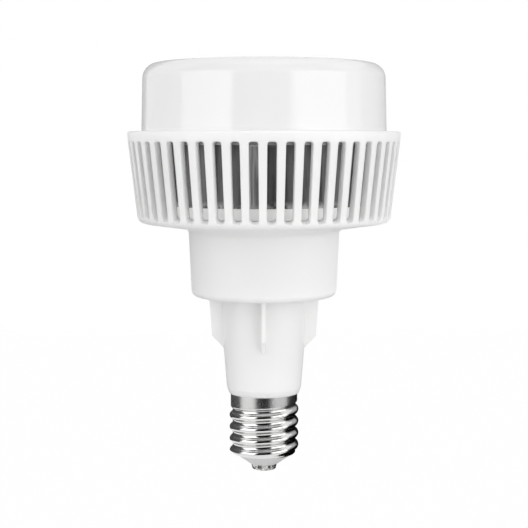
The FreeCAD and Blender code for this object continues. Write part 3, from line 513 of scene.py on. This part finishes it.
# Painted glow: the cover emits light that stands in for light let through by the housing
shader.inputs["Emission Color"].default_value = WHITE
shader.inputs["Emission Strength"].default_value = COVER_PAINTED_GLOW
print("made", cover_white_painted_glow.name)

# %% [markdown]
# The screw shell is one thin brass tube. Rollers press a round thread into it, so crest and valley are
# equal arcs that flow into each other. The solid keeps the standard pitch of 6.35 mm, while the turns in
# the photo stand 6.8 mm apart and the metal ends 3 mm higher, so the shell is modelled anew to match.

# %% Sizes of the thread
shell_low, shell_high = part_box("screw_shell")
PITCH = 6.8 * MM
ARC = 2.05 * MM
CREST = shell_high.x
DEPTH = 2 * (ARC - math.sqrt(ARC ** 2 - (PITCH / 4) ** 2))
ROOT = CREST - DEPTH
SKIRT = 18.95 * MM
LIP = 16.8 * MM
BOTTOM = shell_low.z + 3.0 * MM
SHOULDER = 0.7 * MM
START = 1.8 * MM
FIRST_CREST = shell_low.z + 1.07 * MM
LAST_VALLEY = shell_low.z + 28.27 * MM
RUN_OUT = 2.2 * MM
WALL = 0.45 * MM
# Roughly the way along the wall from the lip round the shoulder, and from there straight up
LIP_LENGTH = (ROOT - LIP + SHOULDER) * 0.8
WALL_LENGTH = shell_high.z - BOTTOM - SHOULDER
print("thread", round(DEPTH / MM, 2), "mm deep")

# %% [markdown]
# The thread dies away at the skirt above and at the lip below, and a profile that is stacked or screwed
# upwards can't do that. So the shape is written as a radius for each height and angle: the round thread,
# eased in at the lower edge and eased out above the last groove.

# %% Shape of the thread
def ease(low, high, value):
    """From zero to one between low and high, with soft ends."""
    share = min(max((value - low) / (high - low), 0.0), 1.0)
    return share * share * (3 - 2 * share)


def rolled(offset):
    """Height of the round thread above its valley, at a distance along the axis from any crest."""
    away = abs((offset + PITCH / 2) % PITCH - PITCH / 2)
    if away <= PITCH / 4:
        return DEPTH - ARC + math.sqrt(ARC ** 2 - away ** 2)
    return ARC - math.sqrt(ARC ** 2 - (PITCH / 2 - away) ** 2)


def wall_radius(height, angle):
    """Radius of the wall; the last groove climbs along the front and comes down along the back."""
    turned = angle / (2 * math.pi)
    climb = turned + 0.5 if turned <= 0 else 0.5 - 0.5 * ease(0.0, 0.5, turned)
    groove = LAST_VALLEY + PITCH * climb
    end = ease(groove, groove + RUN_OUT, height)
    thread = rolled(height - FIRST_CREST - PITCH * turned) * ease(BOTTOM, BOTTOM + START, height)
    return ROOT + thread * (1 - end) + (SKIRT - ROOT) * end


def shell_place(share, angle):
    """Radius and height of the shell at a share of the way from its lip to its upper edge."""
    way = share * (LIP_LENGTH + WALL_LENGTH)
    shoulder = BOTTOM + SHOULDER
    if way >= LIP_LENGTH:
        height = shoulder + way - LIP_LENGTH
        return wall_radius(height, angle), height
    turn = way / LIP_LENGTH * math.pi / 2
    reach = wall_radius(shoulder, angle) - LIP
    return LIP + reach * math.sin(turn), shoulder - SHOULDER * math.cos(turn)


print("front of the skirt:", round(wall_radius(shell_high.z, -math.pi / 2) / MM, 2), "mm from the axis")

# %% [markdown]
# The piece itself starts as a plain open tube, one metre long so that a height on it is also a share of
# its length. Its upright edges are selected and cut into many rings, each point is pushed to where the
# rolling would leave it, and Solidify gives the sheet its thickness on the inside.

# %% Rolled screw shell
SIDES = 160
CUTS = 159
bpy.ops.object.select_all(action="DESELECT")
bpy.ops.mesh.primitive_cylinder_add(vertices=SIDES, radius=CREST, depth=1.0, end_fill_type="NOTHING")
shell = bpy.context.active_object
shell.name = "rolled_screw_shell"
bpy.ops.object.mode_set(mode="EDIT")
bpy.ops.mesh.select_mode(type="EDGE")
bpy.ops.mesh.select_all(action="DESELECT")
bpy.ops.object.mode_set(mode="OBJECT")
for edge in shell.data.edges:
    ends = [shell.data.vertices[i].co for i in edge.vertices]
    edge.select = abs(ends[0].z - ends[1].z) > 0.5
bpy.ops.object.mode_set(mode="EDIT")
bpy.ops.mesh.subdivide(number_cuts=CUTS)
bpy.ops.object.mode_set(mode="OBJECT")
for vertex in shell.data.vertices:
    angle = math.atan2(vertex.co.y, vertex.co.x)
    radius, height = shell_place(vertex.co.z + 0.5, angle)
    vertex.co = (radius * math.cos(angle), radius * math.sin(angle), height)
sheet = shell.modifiers.new("sheet", "SOLIDIFY")
sheet.thickness = WALL
sheet.offset = -1.0
bpy.ops.object.modifier_apply(modifier="sheet")
bpy.ops.object.shade_smooth_by_angle(angle=math.radians(50))
shell.data.materials.append(nickel)
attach(shell, "root")
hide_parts("screw_shell")
print(shell.name, "with", len(shell.data.polygons), "faces")

# %% [markdown]
# Under the shell a grey cone keeps the live contact apart from the shell. It is moulded into the shell's
# open end and runs straight from the shell's edge to the contact. A truncated cone is the start, and its
# rims are rounded as the mould leaves them.

# %% Insulating cone
CONE_FOOT = 7.9 * MM
CONE_TOP = 17.2 * MM
OVERLAP = 0.4 * MM
cone_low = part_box("cap_insulator")[0]
cone_height = BOTTOM + OVERLAP - cone_low.z
bpy.ops.object.select_all(action="DESELECT")
bpy.ops.mesh.primitive_cone_add(vertices=128, radius1=CONE_FOOT, radius2=CONE_TOP, depth=cone_height,
                                location=(0, 0, cone_low.z + cone_height / 2))
cone = bpy.context.active_object
cone.name = "insulating_cone"
bpy.ops.object.transform_apply(location=True, rotation=False, scale=False)
rims = cone.modifiers.new("rims", "BEVEL")
rims.width = 0.5 * MM
rims.segments = 3
rims.limit_method = "ANGLE"
bpy.ops.object.modifier_apply(modifier="rims")
bpy.ops.object.shade_smooth_by_angle(angle=math.radians(30))
cone.data.materials.append(inner["cap_insulator"])
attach(cone, "root")
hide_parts("cap_insulator")
print(cone.name, round(cone_height / MM, 2), "mm high")

# %% [markdown]
# Every solid now gets its finish. The slots are replaced one by one, so that nothing keeps the flat
# colour it was packed with.

# %% Dress the solids
finishes = dict(inner)
finishes.update({
    "vent_housing": plastic,
    "driver_cover": cover_white_painted_glow,
    "board_terminal": plastic,
    "diffuser_cover": opal,
    "heat_sink": aluminium,
    "screw_shell": nickel,
    "centre_contact": solder,
})
for name, piece in nodes.items():
    piece.data.materials.clear()
    piece.data.materials.append(finishes[name])
print("dressed", len(finishes), "solids")
